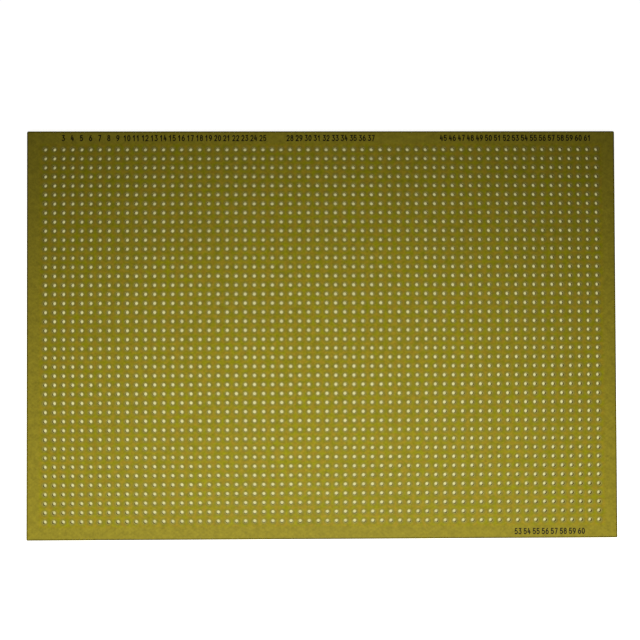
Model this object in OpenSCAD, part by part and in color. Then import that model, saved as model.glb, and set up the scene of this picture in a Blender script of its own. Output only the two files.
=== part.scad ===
// Perforated circuit board: a bare glass-epoxy sheet drilled all over on a square grid, with plain
// column numbers printed along its edges. Millimetres. The board lies flat with its underside on
// z = 0 and its centre over the origin: +X along the long edge, +Y along the short edge.

/* [Board] */
// Length of the board along X
board_length = 165.1; // [120:0.1:200]
// Width of the board along Y
board_width = 114.3; // [60:0.1:150]
// Thickness of the laminate
board_thickness = 1.5748; // [0.8:0.0001:3.2]
// How far the cloth's flatter bands sit back from each face
weave_relief = 0.004; // [0.001:0.001:0.02]

/* [Holes] */
// Distance between neighbouring holes, centre to centre
pitch = 2.54; // [2:0.01:5.08]
// Drilled diameter of every hole
hole_diameter = 1.0668; // [0.6:0.0001:1.6]
// Least distance from a board edge to the centres of the outer holes
edge_margin = 5.08; // [4:0.01:12]
// Rows of holes in each band of the cloth
rows_per_band = 2; // [1:1:6]

/* [Numbers] */
// First and last column numbered at the left of the top edge
top_left_run = [3, 25]; // [1:1:62]
// First and last column numbered in the middle of the top edge
top_middle_run = [28, 37]; // [1:1:62]
// First and last column numbered at the right of the top edge
top_right_run = [45, 61]; // [1:1:62]
// First and last column numbered along the bottom edge
bottom_run = [53, 60]; // [1:1:62]
// Height of a numeral
numeral_height = 1.75; // [1:0.05:2.2]
// Width of a numeral
numeral_width = 0.9; // [0.6:0.05:1.1]
// Gap between the two numerals of a number
numeral_gap = 0.16; // [0.1:0.01:0.3]
// Width of the printed stroke
stroke = 0.27; // [0.1:0.01:0.32]
// Distance from the board's edge to the numerals
numeral_inset = 1.05; // [0.5:0.05:1.2]
// Thickness of the ink
ink_thickness = 0.03; // [0.01:0.01:0.1]

/* [Hidden] */

// A span this much short of a whole number of pitches still counts as whole
rounding = 0.001;
columns = floor((board_length - 2 * edge_margin) / pitch + rounding) + 1;
rows = floor((board_width - 2 * edge_margin) / pitch + rounding) + 1;
bands = ceil(rows / rows_per_band);

// Sides of a hole, and points along a numeral's curves
hole_sides = 24;
curve_steps = 7;
loop_steps = 14;

// Centre of the hole in a given column and row, both counted from 0 at the lower left
function hole_x(column) = (column - (columns - 1) / 2) * pitch;
function hole_y(row) = (row - (rows - 1) / 2) * pitch;

// Y of the line between one band and the next, midway between two rows; the outer ones are board edges
function band_edge(band) =
    band == 0 ? -board_width / 2
    : band == bands ? board_width / 2
    : hole_y(band * rows_per_band - 0.5);

// The first and last bands stand proud, and every second band between them sits back
function band_depth(band) = band % 2 == 1 && band < bands - 1 ? weave_relief : 0;

// Plan of one band of the sheet, with its holes
module band_plan(band) {
    first_row = band * rows_per_band;
    last_row = min(first_row + rows_per_band, rows) - 1;
    difference() {
        translate([-board_length / 2, band_edge(band)])
            square([board_length, band_edge(band + 1) - band_edge(band)]);
        for (column = [0:columns - 1], row = [first_row:last_row])
            translate([hole_x(column), hole_y(row)])
                circle(d = hole_diameter, $fn = hole_sides);
    }
}

module board() {
    color([0.53, 0.48, 0.10])
        for (band = [0:bands - 1])
            translate([0, 0, band_depth(band)])
                linear_extrude(board_thickness - 2 * band_depth(band))
                    band_plan(band);
}

// Points on an ellipse: an arc between two angles, and a whole loop
function on_ellipse(centre, radii, angle) = centre + [radii.x * cos(angle), radii.y * sin(angle)];
function arc(centre, radii, from, to) =
    [for (i = [0:curve_steps]) on_ellipse(centre, radii, from + (to - from) * i / curve_steps)];
function loop(centre, radii) =
    [for (i = [0:loop_steps - 1]) on_ellipse(centre, radii, 360 * i / loop_steps)];

function turned(points) = [for (p = points) [1 - p.x, 1 - p.y]];

// Centre lines of a numeral in a cell 1 wide and 1 high, as loops and as open lines
six_loop = loop([0.5, 0.3], [0.5, 0.3]);
six_tail = arc([0.92, 0.3], [0.86, 0.7], 175, 105);
function numeral_loops(n) =
    n == 0 ? [loop([0.5, 0.5], [0.5, 0.5])]
    : n == 6 ? [six_loop]
    : n == 8 ? [loop([0.5, 0.27], [0.5, 0.27]), loop([0.5, 0.77], [0.42, 0.23])]
    : n == 9 ? [turned(six_loop)]
    : [];
function numeral_lines(n) =
    n == 1 ? [[[0.55, 0], [0.55, 1]], [[0.1, 0.73], [0.42, 0.92]]]
    : n == 2 ? [concat(arc([0.5, 0.7], [0.48, 0.3], 160, -35), [[0.02, 0], [0.95, 0]])]
    : n == 3 ? [concat([[0.15, 1], [0.92, 1], [0.45, 0.6]], arc([0.46, 0.3], [0.54, 0.3], 70, -145))]
    : n == 4 ? [[[0.3, 1], [0, 0.32], [0.95, 0.32]], [[0.7, 0.66], [0.7, 0]]]
    : n == 5 ? [concat([[0.85, 1], [0.12, 1], [0.05, 0.54]], arc([0.46, 0.32], [0.54, 0.32], 120, -145))]
    : n == 6 ? [six_tail]
    : n == 7 ? [[[0.1, 1], [0.95, 1], [0.35, 0]]]
    : n == 9 ? [turned(six_tail)]
    : [];

// A cell point at its place in a numeral that is as wide and high as it should be, stroke included
function in_cell(p) =
    [stroke / 2 + p.x * (numeral_width - stroke), stroke / 2 + p.y * (numeral_height - stroke)];

// Step from the centre line to the left edge of the stroke, at a corner between two directions
function normal(direction) = [-direction.y, direction.x] / norm(direction);
function mitre(before, after) =
    let (sum = normal(before) + normal(after)) sum / (sum * sum) * stroke;

module closed_stroke(points) {
    count = len(points);
    steps = [for (i = [0:count - 1])
        let (here = points[i])
            mitre(here - points[(i + count - 1) % count], points[(i + 1) % count] - here)];
    polygon(
        concat(points + steps, points - steps),
        [[for (i = [0:count - 1]) i], [for (i = [0:count - 1]) count + i]]
    );
}

// Both ends of an open line run on past their last point by half the width of the stroke
function lengthened(from, to) = to + (to - from) / norm(to - from) * stroke / 2;

module open_stroke(line) {
    last = len(line) - 1;
    points = [for (i = [0:last])
        i == 0 ? lengthened(line[1], line[0])
        : i == last ? lengthened(line[last - 1], line[last])
        : line[i]];
    steps = [for (i = [0:last])
        mitre(
            points[max(i, 1)] - points[max(i, 1) - 1],
            points[min(i, last - 1) + 1] - points[min(i, last - 1)]
        )];
    polygon(concat(points - steps, [for (i = [last:-1:0]) points[i] + steps[i]]));
}

module numeral(n) {
    for (points = numeral_loops(n)) closed_stroke([for (p = points) in_cell(p)]);
    for (points = numeral_lines(n)) open_stroke([for (p = points) in_cell(p)]);
}

// A number of one or two numerals, centred on x = 0
module number(n) {
    digits = n < 10 ? [n] : [floor(n / 10), n % 10];
    advance = numeral_width + numeral_gap;
    width = len(digits) * advance - numeral_gap;
    for (i = [0:len(digits) - 1])
        translate([i * advance - width / 2, 0])
            numeral(digits[i]);
}

// The numbers of one run of columns, standing on the line y
module numbered_run(run, y) {
    if (run[0] <= columns)
        for (n = [run[0]:min(run[1], columns)])
            translate([hole_x(n - 1), y])
                number(n);
}

module numbers() {
    top_line = board_width / 2 - numeral_inset - numeral_height;
    bottom_line = numeral_inset - board_width / 2;
    color([0.07, 0.06, 0.03])
        translate([0, 0, board_thickness])
            linear_extrude(ink_thickness) {
                for (run = [top_left_run, top_middle_run, top_right_run])
                    numbered_run(run, top_line);
                numbered_run(bottom_run, bottom_line);
            }
}

board();
numbers();
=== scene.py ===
"""Dresses a perforated circuit board: a glass-epoxy sheet with a grid of drilled holes and printed
column numbers, on a pale floor under soft light. Lengths are in metres."""

import math

import bmesh
import bpy
import numpy as np
from bpy.props import FloatProperty, FloatVectorProperty, IntProperty, PointerProperty
from bpy.types import Operator, Panel, PropertyGroup
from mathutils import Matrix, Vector


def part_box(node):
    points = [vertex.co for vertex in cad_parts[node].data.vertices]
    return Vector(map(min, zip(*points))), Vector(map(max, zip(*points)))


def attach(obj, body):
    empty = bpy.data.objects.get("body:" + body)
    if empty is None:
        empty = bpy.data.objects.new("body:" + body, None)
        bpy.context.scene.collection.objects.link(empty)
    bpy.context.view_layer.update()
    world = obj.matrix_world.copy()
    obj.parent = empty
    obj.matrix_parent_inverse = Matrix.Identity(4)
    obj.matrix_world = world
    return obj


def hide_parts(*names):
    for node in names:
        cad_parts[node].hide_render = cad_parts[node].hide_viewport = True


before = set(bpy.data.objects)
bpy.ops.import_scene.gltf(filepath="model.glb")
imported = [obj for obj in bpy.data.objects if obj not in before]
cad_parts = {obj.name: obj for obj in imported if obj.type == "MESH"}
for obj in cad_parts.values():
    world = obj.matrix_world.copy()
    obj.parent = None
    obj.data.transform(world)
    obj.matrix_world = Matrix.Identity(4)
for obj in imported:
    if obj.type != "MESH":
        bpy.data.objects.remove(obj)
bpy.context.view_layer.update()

bl_info = {
    "name": "Perforated board",
    "version": (1, 0, 0),
    "blender": (4, 5, 0),
    "location": "3D View > Sidebar > Perforated board",
    "description": "Makes a drilled glass-epoxy board, its printed numbers and a small stage",
    "category": "Object",
}

BODY = "root"
BOARD_LOW, BOARD_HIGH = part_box("board")
BOARD_SIZE = BOARD_HIGH - BOARD_LOW
FULL_TURN = 2 * math.pi


# ---------------------------------------------------------------- settings


def a_length(name, description, value):
    return FloatProperty(
        name=name, description=description, unit="LENGTH", precision=6, min=0, default=value
    )


def a_place(name, description, value):
    return FloatVectorProperty(
        name=name, description=description, subtype="TRANSLATION", precision=5, default=value
    )


def a_colour(name, description, value):
    return FloatVectorProperty(
        name=name, description=description, subtype="COLOR", min=0, max=1, default=value
    )


def a_share(name, description, value):
    return FloatProperty(
        name=name, description=description, subtype="FACTOR", min=0, max=1, default=value
    )


class SheetSettings(PropertyGroup):
    pitch: a_length("Pitch", "Distance between neighbouring holes", 0.00254)
    hole_diameter: a_length("Hole diameter", "Drilled diameter of every hole", 0.0010668)
    columns: IntProperty(name="Columns", description="Holes along X", default=62, min=1)
    rows: IntProperty(name="Rows", description="Holes along Y", default=42, min=1)
    hole_sides: IntProperty(
        name="Hole sides", description="Faces round the wall of a hole", default=16, min=8
    )
    edge_break: a_length("Edge break", "Width of the bevel round the outline", 0.00010)
    corner_radius: a_length("Corner radius", "Rounding of the corners in plan", 0.00030)


class LaminateSettings(PropertyGroup):
    resin: a_colour("Resin", "Laminate between the holes", (0.277, 0.256, 0.0012))
    deep_resin: a_colour("Deep resin", "Cloudy patches of the laminate", (0.261, 0.228, 0.0055))
    amber_resin: a_colour("Amber resin", "Warmer patches of the laminate", (0.317, 0.231, 0.0115))
    margin: a_colour("Margin", "Undrilled border of the sheet", (0.277, 0.228, 0.0150))
    crazed: a_colour("Crazed resin", "Ring round a drilled hole", (0.225, 0.200, 0.028))
    burr: a_colour("Burr", "Whitened lip of a drilled hole", (0.34, 0.31, 0.065))
    glass: a_colour("Glass ends", "Cut glass along the edges", (0.30, 0.255, 0.060))
    ply_line: a_colour("Ply line", "Resin between two layers of cloth", (0.13, 0.105, 0.012))
    # The drilled glass and its ply lines are pale partly as fresh-cut glass and partly as painted
    # light in the holes
    drilled_glass_and_painted_light: a_colour("Drilled glass", "Cut glass in the holes", (0.62, 0.54, 0.16))
    drilled_line_and_painted_light: a_colour(
        "Drilled ply line", "Resin between two layers in the holes", (0.42, 0.35, 0.07)
    )
    plies: IntProperty(name="Plies", description="Layers of cloth", default=8, min=1)
    yarn_x: a_length("Yarn pitch X", "Distance between yarns along X", 0.00082)
    yarn_y: a_length("Yarn pitch Y", "Distance between yarns along Y", 0.000577)
    crazing_width: a_length("Crazing width", "Width of the ring round a hole", 0.00045)
    rim_width: a_length("Rim width", "Width of the dark line along the outline", 0.00050)


class InkSettings(PropertyGroup):
    ink: a_colour("Ink", "Solid ink", (0.004, 0.004, 0.001))
    thin_ink: a_colour("Thin ink", "Where the ink is thin", (0.022, 0.018, 0.002))


class StageSettings(PropertyGroup):
    floor_size: a_length("Floor size", "Side of the floor", 6.0)
    paper: a_colour("Paper", "Open floor round the board", (0.80, 0.80, 0.78))
    # Painted shade: the paper under the board is given a near-black colour
    shaded_paper: a_colour("Shaded paper", "Floor under the board", (0.05, 0.05, 0.04))
    glow: a_share("Glow", "Whiteness of the open floor by itself", 0.82)
    # Painted light: the glow of the paper seen through the holes, tinted yellow as light bounced
    # from the laminate
    painted_hole_light: a_colour("Painted hole light", "Paper seen through the holes", (0.72, 0.68, 0.315))
    fill: a_share("Fill", "Light from all round", 0.25)
    ceiling: a_share("Ceiling", "Brightness of the ceiling in gloss", 0.12)
    lamp_place: a_place("Lamp place", "Where the overhead lamp hangs", (0.009, -0.35, 0.60))
    lamp_aim: a_place("Lamp aim", "Where its beam meets the board", (-0.002, -0.136, 0.0))
    lamp_radius: a_length("Lamp radius", "Size of the lamp's face", 0.03)
    lamp_beam: FloatProperty(
        name="Lamp beam", description="Whole angle of the beam", subtype="ANGLE", default=0.594
    )
    lamp_power: FloatProperty(
        name="Lamp power", description="Power of the overhead lamp", unit="POWER", default=19.3
    )
    lamp_softness: a_share("Lamp softness", "How far the beam fades in from its edge", 0.80)
    camera_place: a_place("Camera place", "Where the camera is", (-0.00902, -0.00762, 0.43063))
    camera_turn: FloatVectorProperty(
        name="Camera turn",
        description="How the camera is turned from looking straight down",
        subtype="EULER",
        precision=5,
        default=(0.027265, -0.019440, -0.003429),
    )
    camera_lens: FloatProperty(
        name="Camera lens", description="Focal length", unit="CAMERA", default=86.18
    )


# ---------------------------------------------------------------- node trees

# Multiplied with a vector, it keeps X and Y and drops Z
FLAT = (1, 1, 0)


def with_identifier(sockets, identifier):
    """The socket that has this identifier, where several share a name."""
    return next(socket for socket in sockets if socket.identifier == identifier)


class NodeWriter:
    """Adds nodes to a tree. An input is given as a number, a colour, a vector or another socket."""

    def __init__(self, tree):
        self.tree = tree
        tree.nodes.clear()

    def node(self, kind, inputs=(), **settings):
        node = self.tree.nodes.new(kind)
        for name, value in settings.items():
            setattr(node, name, value)
        pairs = inputs.items() if isinstance(inputs, dict) else enumerate(inputs)
        for key, value in pairs:
            self.put(value, node.inputs[key])
        return node

    def put(self, value, socket):
        if isinstance(value, bpy.types.NodeSocket):
            self.tree.links.new(value, socket)
        else:
            socket.default_value = value

    def maths(self, operation, *values):
        return self.node("ShaderNodeMath", values, operation=operation).outputs[0]

    def plus(self, start, value, share):
        """start, and a share of value on top of it."""
        return self.maths("ADD", start, self.maths("MULTIPLY", value, share))

    def vector(self, operation, *values):
        node = self.node("ShaderNodeVectorMath", values, operation=operation)
        return node.outputs["Value" if operation == "LENGTH" else "Vector"]

    def scaled(self, vector, share):
        inputs = {"Vector": vector, "Scale": share}
        return self.node("ShaderNodeVectorMath", inputs, operation="SCALE").outputs["Vector"]

    def split(self, vector):
        return self.node("ShaderNodeSeparateXYZ", [vector]).outputs

    def from_xyz(self, x, y, z):
        return self.node("ShaderNodeCombineXYZ", [x, y, z]).outputs[0]

    def mixed(self, share, a, b):
        """Colour a, turning into colour b as share goes from 0 to 1."""
        node = self.node("ShaderNodeMix", data_type="RGBA")
        self.put(share, with_identifier(node.inputs, "Factor_Float"))
        for value, identifier in ((a, "A_Color"), (b, "B_Color")):
            colour = value if isinstance(value, bpy.types.NodeSocket) else (*value, 1)
            self.put(colour, with_identifier(node.inputs, identifier))
        return with_identifier(node.outputs, "Result_Color")

    def ramp(self, value, ends, unit=1.0, low=0.0, high=1.0):
        """A smooth change from low at the first of the ends, which are in this unit, to high."""
        inputs = [value, unit * ends[0], unit * ends[1], low, high]
        node = self.node("ShaderNodeMapRange", inputs, interpolation_type="SMOOTHSTEP")
        return node.outputs[0]

    def noise(self, place, per_metre, detail, roughness=0.5):
        inputs = {"Vector": place, "Scale": per_metre, "Detail": detail, "Roughness": roughness}
        return self.node("ShaderNodeTexNoise", inputs).outputs[0]

    def bump(self, shader, height, depth, strength):
        """Raises the shader's surface by depth, in metres, for each unit of height."""
        inputs = {"Height": height, "Distance": depth, "Strength": strength}
        self.put(self.node("ShaderNodeBump", inputs).outputs[0], shader.inputs["Normal"])


def new_material(name, draw):
    """A material whose look is what draw(writer, place, shader) sets on its Principled shader."""
    material = bpy.data.materials.new(name)
    material.use_nodes = True
    writer = NodeWriter(material.node_tree)
    shader = writer.node("ShaderNodeBsdfPrincipled")
    writer.node("ShaderNodeOutputMaterial", [shader.outputs[0]])
    place = writer.node("ShaderNodeTexCoord").outputs["Object"]
    draw(writer, place, shader)
    return material


# ---------------------------------------------------------------- finishes

# Noise patterns: how many repeats to a metre, how much detail, and its roughness
CLOUDS = (60, 4, 0.6)
PATCHES = (430, 3, 0.6)
MOTTLES = (620, 2, 0.6)
SPECKS = (1700, 3, 0.7)
TORN_FIBRES = (5200, 2, 0.6)
DRILLED_WANDER = (900, 2)
SAWN_WANDER = (60, 2)
THIN_SPOTS = (3500, 3, 0.7)

# The values of a pattern between which it comes in
CLOUD_FADE = (0.35, 0.65)
PATCH_FADE = (0.38, 0.62)
PLY_LINE_FADE = (0.2, 1.0)
THIN_FADE = (0.48, 0.72)

# Where the laminate's face changes: in pitches inside the edge of the drilled field, in crazing
# widths from the wall of a hole, and in rim widths inside the outline
FIELD_FADE = (-0.35, 0.15)
CRAZED_FADE = (1.5, 0.7)
BURR_FADE = (0.5, 0.0)
RIM_FADE = (1.0, 0.5)

# The brightness and the roughness of the laminate's face: what it has by itself, and what each
# pattern adds at its fullest. The mottles are moved so that they don't follow the patches
FACE_TONE = 0.375
SPECK_TONE = 0.55
MOTTLE_TONE = 0.58
CLOTH_TONE = 0.035
RIM_TONE = -0.55
FACE_ROUGHNESS = 0.38
SPECK_ROUGHNESS = 0.16
CRAZED_ROUGHNESS = 0.12
CRAZED_SHARE = 0.7
MOTTLE_SHIFT = (0.5, 0.2, 0)

# The same for cut glass, whose plies wander by a share of the thickness, and whose torn fibres are
# three times as wide as high
CUT_TONE = 0.75
FIBRE_TONE = 0.5
DRILLED_ROUGHNESS = 0.7
SAWN_ROUGHNESS = 0.75
PLY_WANDER = 0.05
FIBRE_SQUEEZE = (1, 1, 3)

# The same for ink
INK_ROUGHNESS = 0.5
THIN_ROUGHNESS = 0.15

# Gloss, and relief: the height of one unit of it in metres and how strongly it shows, then how far
# specks and ply lines stand out in it beside the cloth and the fibres
FACE_GLOSS = 0.07
CUT_GLOSS = 0.15
INK_GLOSS = 0.1
FACE_RELIEF = (4e-6, 0.35)
CUT_RELIEF = (2e-5, 0.5)
SPECK_RELIEF = 1.2
PLY_LINE_RELIEF = -0.5


def from_nearest_hole(writer, place, sheet):
    """Distance from the axis of the nearest hole on the grid.

    An odd count of holes puts one of them at the centre, and an even count none."""
    cell = (sheet.pitch, sheet.pitch, 1)
    shift = (0.5 * (sheet.columns % 2), 0.5 * (sheet.rows % 2), 0)
    cells = writer.vector("ADD", writer.vector("DIVIDE", place, cell), shift)
    within = writer.vector("SUBTRACT", writer.vector("FRACTION", cells), (0.5, 0.5, 0))
    return writer.vector("LENGTH", writer.vector("MULTIPLY", within, (sheet.pitch, sheet.pitch, 0)))


def inside_edge(writer, place, size_x, size_y):
    """Distance in from the nearest side of a centred rectangle, negative outside it."""
    x, y, _ = writer.split(writer.vector("ABSOLUTE", place))
    from_x = writer.maths("SUBTRACT", size_x / 2, x)
    from_y = writer.maths("SUBTRACT", size_y / 2, y)
    return writer.maths("MINIMUM", from_x, from_y)


def weave(writer, place, laminate):
    """Relief of a plain-woven cloth, from -1 to 1."""
    x, y, _ = writer.split(place)
    along_x = writer.maths("SINE", writer.maths("MULTIPLY", x, math.pi / laminate.yarn_x))
    along_y = writer.maths("SINE", writer.maths("MULTIPLY", y, math.pi / laminate.yarn_y))
    return writer.maths("MULTIPLY", along_x, along_y)


def laminate_face(sheet, laminate):
    """Olive resin over glass cloth: cloudy, faintly woven, crazed round each hole."""

    def draw(writer, place, shader):
        place = writer.vector("MULTIPLY", place, FLAT)
        clouds = writer.noise(place, *CLOUDS)
        patches = writer.noise(place, *PATCHES)
        specks = writer.noise(place, *SPECKS)
        mottles = writer.noise(writer.vector("ADD", place, MOTTLE_SHIFT), *MOTTLES)
        cloth = weave(writer, place, laminate)

        # The drilled field, the dark line along the outline, and the rings round the holes
        field = (sheet.columns * sheet.pitch, sheet.rows * sheet.pitch)
        in_field = inside_edge(writer, place, *field)
        drilled = writer.ramp(in_field, FIELD_FADE, sheet.pitch)
        has_hole = writer.maths("GREATER_THAN", in_field, 0)
        in_outline = inside_edge(writer, place, BOARD_SIZE.x, BOARD_SIZE.y)
        rim = writer.ramp(in_outline, RIM_FADE, laminate.rim_width)
        from_axis = from_nearest_hole(writer, place, sheet)
        from_wall = writer.maths("SUBTRACT", from_axis, sheet.hole_diameter / 2)
        crazed = writer.ramp(from_wall, CRAZED_FADE, laminate.crazing_width)
        crazed = writer.maths("MULTIPLY", crazed, has_hole)
        burr = writer.ramp(from_wall, BURR_FADE, laminate.crazing_width)
        burr = writer.maths("MULTIPLY", burr, has_hole)

        # The colour, from the resin up to the burrs, and then its brightness
        cloudy = writer.ramp(clouds, CLOUD_FADE)
        colour = writer.mixed(cloudy, laminate.resin, laminate.deep_resin)
        colour = writer.mixed(writer.ramp(patches, PATCH_FADE), colour, laminate.amber_resin)
        colour = writer.mixed(drilled, laminate.margin, colour)
        crazed_share = writer.maths("MULTIPLY", crazed, CRAZED_SHARE)
        colour = writer.mixed(crazed_share, colour, laminate.crazed)
        colour = writer.mixed(burr, colour, laminate.burr)
        tone = writer.plus(FACE_TONE, specks, SPECK_TONE)
        tone = writer.plus(tone, mottles, MOTTLE_TONE)
        tone = writer.plus(tone, cloth, CLOTH_TONE)
        tone = writer.maths("MULTIPLY", tone, writer.plus(1, rim, RIM_TONE))
        writer.put(writer.scaled(colour, tone), shader.inputs["Base Color"])

        # How it takes the light
        rough = writer.plus(FACE_ROUGHNESS, specks, SPECK_ROUGHNESS)
        rough = writer.plus(rough, crazed, CRAZED_ROUGHNESS)
        writer.put(rough, shader.inputs["Roughness"])
        writer.put(FACE_GLOSS, shader.inputs["Specular IOR Level"])
        relief = writer.plus(cloth, specks, SPECK_RELIEF)
        writer.bump(shader, relief, *FACE_RELIEF)

    return new_material("laminate_face", draw)


def cut_glass(name, plies, glass, line, wander, roughness):
    """Cut ends of the cloth's plies, as lines along the sheet with torn fibres between them."""

    def draw(writer, place, shader):
        height = writer.maths("DIVIDE", writer.split(place)["Z"], BOARD_SIZE.z)
        level = writer.plus(height, writer.noise(place, *wander), PLY_WANDER)
        turns = writer.maths("MULTIPLY", level, FULL_TURN * plies)
        lines = writer.ramp(writer.maths("COSINE", turns), PLY_LINE_FADE)
        fibres = writer.noise(writer.vector("MULTIPLY", place, FIBRE_SQUEEZE), *TORN_FIBRES)
        tone = writer.plus(CUT_TONE, fibres, FIBRE_TONE)
        colour = writer.scaled(writer.mixed(lines, glass, line), tone)
        writer.put(colour, shader.inputs["Base Color"])
        writer.put(roughness, shader.inputs["Roughness"])
        writer.put(CUT_GLOSS, shader.inputs["Specular IOR Level"])
        relief = writer.plus(fibres, lines, PLY_LINE_RELIEF)
        writer.bump(shader, relief, *CUT_RELIEF)

    return new_material(name, draw)


def drilled_wall(laminate):
    """The wall of a hole: pale glass with uneven plies, partly the paler glass of a fresh cut and
    partly painted light for the light that the laminate lets into the hole.
    """
    colours = (laminate.drilled_glass_and_painted_light, laminate.drilled_line_and_painted_light)
    return cut_glass("drilled_wall", laminate.plies, *colours, DRILLED_WANDER, DRILLED_ROUGHNESS)


def cut_edge(laminate):
    """The sawn outline of the sheet: darker glass with long, even plies."""
    colours = (laminate.glass, laminate.ply_line)
    return cut_glass("cut_edge", laminate.plies, *colours, SAWN_WANDER, SAWN_ROUGHNESS)


def printed_ink(settings):
    """Black screen-printed ink, a little thin in places."""

    def draw(writer, place, shader):
        thin = writer.ramp(writer.noise(place, *THIN_SPOTS), THIN_FADE)
        colour = writer.mixed(thin, settings.ink, settings.thin_ink)
        writer.put(colour, shader.inputs["Base Color"])
        rough = writer.plus(INK_ROUGHNESS, thin, THIN_ROUGHNESS)
        writer.put(rough, shader.inputs["Roughness"])
        writer.put(INK_GLOSS, shader.inputs["Specular IOR Level"])

    return new_material("printed_ink", draw)


# ---------------------------------------------------------------- the sheet

SHEET_INPUTS = {
    "Length": "NodeSocketFloat",
    "Width": "NodeSocketFloat",
    "Thickness": "NodeSocketFloat",
    "Pitch": "NodeSocketFloat",
    "Hole radius": "NodeSocketFloat",
    "Columns": "NodeSocketInt",
    "Rows": "NodeSocketInt",
    "Hole sides": "NodeSocketInt",
    "Edge break": "NodeSocketFloat",
    "Corner radius": "NodeSocketFloat",
    "Face finish": "NodeSocketMaterial",
    "Wall finish": "NodeSocketMaterial",
    "Edge finish": "NodeSocketMaterial",
}
CORNER_STEPS = 4
WELD_DISTANCE = 0.00001
SHARP_ANGLE = math.radians(35)

# The finishes of the sheet, as the face attribute "finish" numbers them
FINISH = "finish"
FACE, WALL, EDGE = 0, 1, 2


class MeshWriter(NodeWriter):
    """Adds geometry nodes too. Which edges a test picks depends on the mesh that it is used on."""

    def together(self, *parts):
        node = self.node("GeometryNodeJoinGeometry")
        for part in parts:
            self.put(part, node.inputs[0])
        return node.outputs[0]

    def logic(self, operation, *values):
        return self.node("FunctionNodeBooleanMath", values, operation=operation).outputs[0]

    def greater(self, value, limit):
        inputs = [value, limit]
        return self.node("FunctionNodeCompare", inputs, operation="GREATER_THAN").outputs[0]

    def equals(self, value, number):
        node = self.node("FunctionNodeCompare", data_type="INT", operation="EQUAL")
        self.put(value, with_identifier(node.inputs, "A_INT"))
        self.put(number, with_identifier(node.inputs, "B_INT"))
        return node.outputs[0]

    def on_border(self):
        """True for an edge with a face on one side only."""
        return self.equals(self.node("GeometryNodeInputMeshEdgeNeighbors").outputs[0], 1)

    def rectangle(self, size_x, size_y):
        return self.node("GeometryNodeCurvePrimitiveQuadrilateral", [size_x, size_y]).outputs[0]

    def grid(self, columns, rows, pitch):
        """A grid of points a pitch apart, centred on the origin."""
        sizes = [
            self.maths("MULTIPLY", self.maths("SUBTRACT", count, 1), pitch)
            for count in (columns, rows)
        ]
        return self.node("GeometryNodeMeshGrid", [*sizes, columns, rows]).outputs[0]

    def filled(self, *curves):
        """Faces inside the outer curve and outside the inner ones."""
        inputs = [self.together(*curves)]
        return self.node("GeometryNodeFillCurve", inputs, mode="TRIANGLES").outputs[0]

    def swept(self, mesh, edges, offset, scale):
        """Outputs of sweeping edges: the Mesh, the moved edges as Top, the new faces as Side."""
        inputs = {"Mesh": mesh, "Selection": edges, "Offset": offset, "Offset Scale": scale}
        return self.node("GeometryNodeExtrudeMesh", inputs, mode="EDGES").outputs

    def only(self, mesh, faces):
        inputs = [mesh, self.logic("NOT", faces)]
        return self.node("GeometryNodeDeleteGeometry", inputs, domain="FACE").outputs[0]

    def welded(self, mesh):
        inputs = {"Geometry": mesh, "Distance": WELD_DISTANCE}
        return self.node("GeometryNodeMergeByDistance", inputs).outputs[0]

    def realized(self, mesh):
        return self.node("GeometryNodeRealizeInstances", [mesh]).outputs[0]

    def finished_as(self, mesh, finish):
        """The mesh with all its faces numbered for one finish."""
        inputs = {"Geometry": mesh, "Name": FINISH, "Value": finish}
        node = self.node("GeometryNodeStoreNamedAttribute", inputs, data_type="INT", domain="FACE")
        return node.outputs[0]


def less_both_breaks(writer, given, size):
    """A full size of the sheet without the bevels at its two ends."""
    return writer.maths("SUBTRACT", size, writer.maths("MULTIPLY", given["Edge break"], 2))


def drilled_field(writer, given):
    """The drilled part of the plan: a square with a round hole, repeated over the grid."""
    circle = writer.node("GeometryNodeCurvePrimitiveCircle", mode="RADIUS")
    writer.put(given["Hole sides"], circle.inputs["Resolution"])
    writer.put(given["Hole radius"], circle.inputs["Radius"])
    cell = writer.filled(writer.rectangle(given["Pitch"], given["Pitch"]), circle.outputs[0])
    holes = writer.grid(given["Columns"], given["Rows"], given["Pitch"])
    cells = writer.node("GeometryNodeInstanceOnPoints", {"Points": holes, "Instance": cell})
    return writer.realized(cells.outputs[0])


def margin_round_field(writer, given, plan_size):
    """The rest of the plan: rounded on the outside, and with the field's own points inside."""
    outline = writer.node("GeometryNodeFilletCurve", mode="POLY")
    writer.put(writer.rectangle(*plan_size), outline.inputs["Curve"])
    writer.put(given["Corner radius"], outline.inputs["Radius"])
    writer.put(CORNER_STEPS, outline.inputs["Count"])
    counts = [writer.maths("ADD", given[name], 1) for name in ("Columns", "Rows")]
    cell_corners = writer.grid(*counts, given["Pitch"])
    field_rim = writer.node("GeometryNodeMeshToCurve", [cell_corners, writer.on_border()])
    return writer.filled(outline.outputs[0], field_rim.outputs[0])


def out_of_core(writer, given, plan_size):
    """Way from the core to a point of the plan, zero inside the core.

    The core is the rectangle on whose corners the outline's rounded corners are centred."""
    place = writer.node("GeometryNodeInputPosition").outputs[0]
    halves = [writer.maths("MULTIPLY", size, 0.5) for size in plan_size]
    core = [writer.maths("SUBTRACT", half, given["Corner radius"]) for half in halves]
    high = writer.from_xyz(*core, 0)
    low = writer.scaled(high, -1)
    nearest = writer.vector("MINIMUM", writer.vector("MAXIMUM", place, low), high)
    return writer.vector("MULTIPLY", writer.vector("SUBTRACT", place, nearest), FLAT)


def hole_walls(writer, given, plan, on_hole):
    """Walls swept up from the holes of the plan."""
    walls = writer.swept(plan, on_hole, (0, 0, 1), given["Thickness"])
    return writer.finished_as(writer.only(walls["Mesh"], walls["Side"]), WALL)


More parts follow.
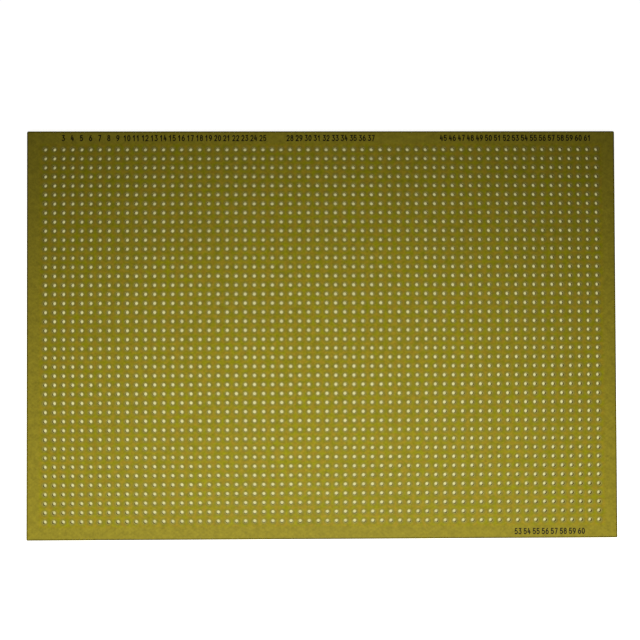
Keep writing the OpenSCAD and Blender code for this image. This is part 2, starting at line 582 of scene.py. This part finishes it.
def outline_bands(writer, given, plan, on_outline, outwards):
    """Bevel, side and bevel, swept up in turn from the outline of the plan."""
    up = writer.from_xyz(0, 0, 1)
    side_height = less_both_breaks(writer, given, given["Thickness"])
    out_and_up = writer.vector("ADD", outwards, up)
    in_and_up = writer.vector("SUBTRACT", up, outwards)
    lower = writer.swept(plan, on_outline, out_and_up, given["Edge break"])
    side = writer.swept(lower["Mesh"], lower["Top"], up, side_height)
    upper = writer.swept(side["Mesh"], side["Top"], in_and_up, given["Edge break"])
    bands = writer.logic("OR", writer.logic("OR", lower["Side"], side["Side"]), upper["Side"])
    return writer.finished_as(writer.only(upper["Mesh"], bands), EDGE)


def perforated_sheet_tree():
    """Geometry nodes for a sheet drilled on a grid, with its outline bevelled on both faces."""
    tree = bpy.data.node_groups.new("Perforated sheet", "GeometryNodeTree")
    for name, kind in SHEET_INPUTS.items():
        tree.interface.new_socket(name, in_out="INPUT", socket_type=kind)
    tree.interface.new_socket("Sheet", in_out="OUTPUT", socket_type="NodeSocketGeometry")
    writer = MeshWriter(tree)
    given = writer.node("NodeGroupInput").outputs

    # The plan, which is the underside: flat, and short of the full size by the bevels
    plan_size = [less_both_breaks(writer, given, given[name]) for name in ("Length", "Width")]
    field = drilled_field(writer, given)
    margin = margin_round_field(writer, given, plan_size)
    plan = writer.finished_as(writer.welded(writer.together(field, margin)), FACE)

    # Its border edges that lie outside the core are the outline, and the others are holes
    away = out_of_core(writer, given, plan_size)
    outside_core = writer.greater(writer.vector("LENGTH", away), WELD_DISTANCE)
    border = writer.on_border()
    walls = hole_walls(writer, given, plan, writer.logic("NIMPLY", border, outside_core))
    on_outline = writer.logic("AND", border, outside_core)
    outwards = writer.vector("NORMALIZE", away)
    edge = outline_bands(writer, given, plan, on_outline, outwards)

    # Both faces, the walls and the edge as one closed mesh, each with its finish
    lift = writer.from_xyz(0, 0, given["Thickness"])
    top = writer.node("GeometryNodeTransform", {"Geometry": plan, "Translation": lift}).outputs[0]
    bottom = writer.node("GeometryNodeFlipFaces", [plan]).outputs[0]
    result = writer.realized(writer.welded(writer.together(top, bottom, walls, edge)))
    finish = writer.node("GeometryNodeInputNamedAttribute", {"Name": FINISH}, data_type="INT")
    for number, name in ((FACE, "Face finish"), (WALL, "Wall finish"), (EDGE, "Edge finish")):
        inputs = [result, writer.equals(finish.outputs[0], number), given[name]]
        result = writer.node("GeometryNodeSetMaterial", inputs).outputs[0]
    writer.node("NodeGroupOutput", [result])
    return tree


# The map for the finishes: both faces at the foot of it, then a strip for the walls of the holes,
# and one for each side. Places, heights and gaps are shares of the map
MAP_NAME = "OFBake"
MAP_BORDER = 0.002
WALL_STRIP = 0.705
WALL_STRIP_HEIGHT = 0.085
SIDE_STRIPS = 0.80
SIDE_STRIP_HEIGHT = 0.049
STRIP_GAP = 0.006


def put_inputs(modifier, values):
    """Sets a Geometry Nodes modifier's inputs, each by its socket's identifier."""
    sockets = {i.name: i.identifier for i in modifier.node_group.interface.items_tree}
    for name, value in values.items():
        modifier[sockets[name]] = value


def as_plain_mesh(name, source):
    """A plain mesh object of what the source's modifiers make; the source is removed."""
    evaluated = source.evaluated_get(bpy.context.evaluated_depsgraph_get())
    mesh = bpy.data.meshes.new_from_object(evaluated)
    bpy.data.objects.remove(source)
    mesh.name = name
    piece = bpy.data.objects.new(name, mesh)
    bpy.context.scene.collection.objects.link(piece)
    return piece


def values_of(items, name, kind, width=1):
    """One property of many mesh elements as an array, with a row for each where it is a vector."""
    values = np.empty(len(items) * width, kind)
    items.foreach_get(name, values)
    return values if width == 1 else values.reshape(-1, width)


def angle_of(plane_vectors):
    return np.arctan2(plane_vectors[:, 1], plane_vectors[:, 0])


def lay_out_map(mesh, sheet):
    """The sheet's flat map, worked out for each corner of each face."""
    corner_counts = values_of(mesh.polygons, "loop_total", np.int32)
    face_of = np.repeat(np.arange(len(corner_counts)), corner_counts)
    finish = values_of(mesh.attributes[FINISH].data, "value", np.int32)[face_of]
    normal = values_of(mesh.polygons, "normal", np.float32, 3)[face_of]
    place = values_of(mesh.vertices, "co", np.float32, 3)
    place = place[values_of(mesh.loops, "vertex_index", np.int32)]
    from_low = place - np.array(BOARD_LOW)
    height = from_low[:, 2] / BOARD_SIZE.z

    # Both faces: the plan, in shares of the board's length, one face over the other
    u, v = (from_low[:, :2] / BOARD_SIZE.x).T

    # Walls of the holes, one over the other: the angle round the hole, within half a turn of the
    # middle of its own face, so that no face is stretched back over the strip
    odd_counts = np.array([sheet.columns, sheet.rows]) % 2
    from_axis = (place[:, :2] / sheet.pitch + odd_counts / 2) % 1 - 0.5
    middle = np.stack([np.bincount(face_of, axis) for axis in from_axis.T], 1)
    middle_angle = angle_of(middle)[face_of]
    past_middle = (angle_of(from_axis) - middle_angle + math.pi) % FULL_TURN - math.pi
    on_wall = finish == WALL
    u = np.where(on_wall, (middle_angle + past_middle) / FULL_TURN + 0.5, u)
    v = np.where(on_wall, WALL_STRIP + WALL_STRIP_HEIGHT * height, v)

    # Sides: each along a strip of its own
    faces_x = np.abs(normal[:, 0]) > np.abs(normal[:, 1])
    faces_plus = np.where(faces_x, normal[:, 0], normal[:, 1]) > 0
    strip = SIDE_STRIPS + SIDE_STRIP_HEIGHT * (2 * faces_x + faces_plus)
    on_side = finish == EDGE
    u = np.where(on_side & faces_x, from_low[:, 1] / BOARD_SIZE.x, u)
    v = np.where(on_side, strip + (SIDE_STRIP_HEIGHT - STRIP_GAP) * height, v)

    flat = MAP_BORDER + (1 - 2 * MAP_BORDER) * np.stack([u, v], 1)
    layer = mesh.uv_layers.new(name=MAP_NAME)
    layer.uv.foreach_set("vector", flat.astype(np.float32).ravel())


def finish_sheet(mesh, sheet):
    """Faces turned outwards, the map laid out, sharp rims, and only the finishes as materials."""
    shell = bmesh.new()
    shell.from_mesh(mesh)
    bmesh.ops.recalc_face_normals(shell, faces=shell.faces)
    shell.to_mesh(mesh)
    shell.free()
    lay_out_map(mesh, sheet)
    mesh.attributes.remove(mesh.attributes[FINISH])
    while mesh.materials[0] is None:
        mesh.materials.pop(index=0)
    mesh.shade_smooth()
    mesh.set_sharp_from_angle(angle=SHARP_ANGLE)


class PERFBOARD_OT_make_sheet(Operator):
    """Make the drilled glass-epoxy sheet"""

    bl_idname = "perfboard.make_sheet"
    bl_label = "Sheet"

    def execute(self, context):
        sheet = context.scene.perfboard_sheet
        laminate = context.scene.perfboard_laminate
        source = bpy.data.objects.new("sheet_source", bpy.data.meshes.new("sheet_source"))
        context.scene.collection.objects.link(source)
        modifier = source.modifiers.new("Perforated sheet", "NODES")
        modifier.node_group = perforated_sheet_tree()
        values = {
            "Length": BOARD_SIZE.x,
            "Width": BOARD_SIZE.y,
            "Thickness": BOARD_SIZE.z,
            "Pitch": sheet.pitch,
            "Hole radius": sheet.hole_diameter / 2,
            "Columns": sheet.columns,
            "Rows": sheet.rows,
            "Hole sides": sheet.hole_sides,
            "Edge break": sheet.edge_break,
            "Corner radius": sheet.corner_radius,
            "Face finish": laminate_face(sheet, laminate),
            "Wall finish": drilled_wall(laminate),
            "Edge finish": cut_edge(laminate),
        }
        put_inputs(modifier, values)
        piece = as_plain_mesh("laminate_sheet", source)
        finish_sheet(piece.data, sheet)
        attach(piece, BODY)
        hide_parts("board")
        return {"FINISHED"}


class PERFBOARD_OT_finish_numbers(Operator):
    """Ink the printed numbers"""

    bl_idname = "perfboard.finish_numbers"
    bl_label = "Numbers"

    def execute(self, context):
        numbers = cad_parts["numbers"]
        numbers.data.materials.clear()
        numbers.data.materials.append(printed_ink(context.scene.perfboard_ink))
        return {"FINISHED"}


# ---------------------------------------------------------------- the stage

# Paper under the board, seen through the holes, glows with painted light. Painted shade dims it
# from the middle of a hole towards its wall, between these shares of the radius, and towards the
# back of the board, between these places on Y
WALL_SHADE_FADE = (0.45, 1.1)
PAINTED_LIGHT_AT_WALL = 0.36
BACK_SHADE_FADE = (-0.030, 0.060)
PAINTED_LIGHT_AT_BACK = 0.55
COVER_FADE = (0, 0.001)
PAPER_DUST = (700, 1)
PAPER_TONE = 0.75
DUST_TONE = 0.5
FLOOR_GAP = 2e-5

# The Z of a direction between which gloss comes to see the ceiling instead of white walls
CEILING_FADE = (0.25, 0.80)
WHITE = (1, 1, 1, 1)

# The nearest and the farthest that the camera sees
CAMERA_REACH = (0.01, 20)


def seen_directly(writer):
    """1 for what the camera sees, straight or through gloss or glass, and 0 for light."""
    rays = writer.node("ShaderNodeLightPath").outputs
    seen = writer.maths("MAXIMUM", rays["Is Camera Ray"], rays["Is Glossy Ray"])
    return writer.maths("MAXIMUM", seen, rays["Is Transmission Ray"])


def painted_light_in_holes(writer, place, stage, sheet):
    """Painted light on the paper under the board: brightest in the middle of a hole and at the
    front, with painted shade towards the wall of the hole and towards the back.
    """
    from_axis = from_nearest_hole(writer, place, sheet)
    painted_wall_shade = writer.ramp(from_axis, WALL_SHADE_FADE, sheet.hole_diameter / 2, 1, PAINTED_LIGHT_AT_WALL)
    painted_back_shade = writer.ramp(writer.split(place)["Y"], BACK_SHADE_FADE, 1, 1, PAINTED_LIGHT_AT_BACK)
    dust = writer.plus(PAPER_TONE, writer.noise(place, *PAPER_DUST), DUST_TONE)
    share = writer.maths("MULTIPLY", writer.maths("MULTIPLY", painted_wall_shade, painted_back_shade), dust)
    return writer.scaled(tuple(stage.painted_hole_light), share)


def paper_floor(stage, sheet):
    """Matt paper: white where it is open, with the board's shadow; under the board, dark with
    painted shade, and glowing with painted light through the holes.
    """
    material = bpy.data.materials.new("paper_floor")
    material.use_nodes = True
    writer = NodeWriter(material.node_tree)
    place = writer.node("ShaderNodeTexCoord").outputs["Object"]
    covered = writer.ramp(inside_edge(writer, place, BOARD_SIZE.x, BOARD_SIZE.y), COVER_FADE)
    # Under the board the floor glows with the painted light of the holes instead of the open white
    glow = writer.mixed(covered, (stage.glow,) * 3, painted_light_in_holes(writer, place, stage, sheet))
    light = writer.node("ShaderNodeEmission", [glow, seen_directly(writer)])
    # Painted shade: the paper's colour dims to near black under the board
    colour = writer.mixed(covered, stage.paper, stage.shaded_paper)
    paper = writer.node("ShaderNodeBsdfDiffuse", [colour])
    both = writer.node("ShaderNodeAddShader", [paper.outputs[0], light.outputs[0]])
    writer.node("ShaderNodeOutputMaterial", [both.outputs[0]])
    return material


def light_all_round(stage):
    """White round about for the camera, a soft fill as light, and a dark ceiling for gloss."""
    world = bpy.data.worlds.new("studio")
    bpy.context.scene.world = world
    world.use_nodes = True
    writer = NodeWriter(world.node_tree)
    rays = writer.node("ShaderNodeLightPath").outputs
    towards = writer.node("ShaderNodeTexCoord").outputs["Generated"]
    height = writer.split(writer.vector("NORMALIZE", towards))["Z"]
    above = writer.ramp(height, CEILING_FADE, 1, 1, stage.ceiling)
    in_gloss = writer.maths("MULTIPLY", rays["Is Glossy Ray"], above)
    as_light = writer.maths("MULTIPLY", rays["Is Diffuse Ray"], stage.fill)
    strength = writer.maths("MAXIMUM", rays["Is Camera Ray"], rays["Is Transmission Ray"])
    for share in (in_gloss, as_light):
        strength = writer.maths("MAXIMUM", strength, share)
    background = writer.node("ShaderNodeBackground", [WHITE, strength])
    writer.node("ShaderNodeOutputWorld", [background.outputs[0]])


def make_lamp(stage):
    """A spot lamp in front of the board, whose beam fades towards the far edge."""
    data = bpy.data.lights.new("overhead_lamp", "SPOT")
    data.energy = stage.lamp_power
    data.shadow_soft_size = stage.lamp_radius
    data.spot_size = stage.lamp_beam
    data.spot_blend = stage.lamp_softness
    lamp = bpy.data.objects.new("overhead_lamp", data)
    lamp.location = stage.lamp_place
    beam = Vector(stage.lamp_aim) - Vector(stage.lamp_place)
    lamp.rotation_euler = beam.to_track_quat("-Z", "Y").to_euler()
    bpy.context.scene.collection.objects.link(lamp)


def make_floor(stage, sheet):
    """A flat floor, just clear of the underside of the board."""
    half = stage.floor_size / 2
    height = BOARD_LOW.z - FLOOR_GAP
    square = [(-half, -half), (half, -half), (half, half), (-half, half)]
    mesh = bpy.data.meshes.new("floor")
    mesh.from_pydata([(x, y, height) for x, y in square], [], [range(4)])
    mesh.materials.append(paper_floor(stage, sheet))
    floor = bpy.data.objects.new("floor", mesh)
    bpy.context.scene.collection.objects.link(floor)


def make_camera(stage):
    """A camera that looks down on the board, a little off square."""
    data = bpy.data.cameras.new("camera")
    data.lens = stage.camera_lens
    data.clip_start, data.clip_end = CAMERA_REACH
    camera = bpy.data.objects.new("camera", data)
    camera.location = stage.camera_place
    camera.rotation_euler = stage.camera_turn
    bpy.context.scene.collection.objects.link(camera)
    bpy.context.scene.camera = camera


class PERFBOARD_OT_make_stage(Operator):
    """Make the floor, the light and the camera"""

    bl_idname = "perfboard.make_stage"
    bl_label = "Stage"

    def execute(self, context):
        stage = context.scene.perfboard_stage
        make_floor(stage, context.scene.perfboard_sheet)
        light_all_round(stage)
        make_lamp(stage)
        make_camera(stage)
        context.scene.view_settings.view_transform = "Standard"
        return {"FINISHED"}


# ---------------------------------------------------------------- the add-on


class PERFBOARD_PT_panel(Panel):
    bl_label = "Perforated board"
    bl_idname = "PERFBOARD_PT_panel"
    bl_space_type = "VIEW_3D"
    bl_region_type = "UI"
    bl_category = "Perforated board"

    def draw(self, context):
        for settings, operator in PANEL_ROWS:
            box = self.layout.box()
            for name in settings:
                group = getattr(context.scene, name)
                for key in group.__annotations__:
                    box.prop(group, key)
            box.operator(operator)


SETTINGS = {
    "perfboard_sheet": SheetSettings,
    "perfboard_laminate": LaminateSettings,
    "perfboard_ink": InkSettings,
    "perfboard_stage": StageSettings,
}
PANEL_ROWS = (
    (("perfboard_sheet", "perfboard_laminate"), "perfboard.make_sheet"),
    (("perfboard_ink",), "perfboard.finish_numbers"),
    (("perfboard_stage",), "perfboard.make_stage"),
)
CLASSES = (
    *SETTINGS.values(),
    PERFBOARD_OT_make_sheet,
    PERFBOARD_OT_finish_numbers,
    PERFBOARD_OT_make_stage,
    PERFBOARD_PT_panel,
)


def register():
    for kind in CLASSES:
        bpy.utils.register_class(kind)
    for name, kind in SETTINGS.items():
        setattr(bpy.types.Scene, name, PointerProperty(type=kind))


def unregister():
    for name in SETTINGS:
        delattr(bpy.types.Scene, name)
    for kind in reversed(CLASSES):
        bpy.utils.unregister_class(kind)


def main():
    register()
    bpy.ops.perfboard.make_sheet()
    bpy.ops.perfboard.finish_numbers()
    bpy.ops.perfboard.make_stage()


if __name__ == "__main__":
    main()
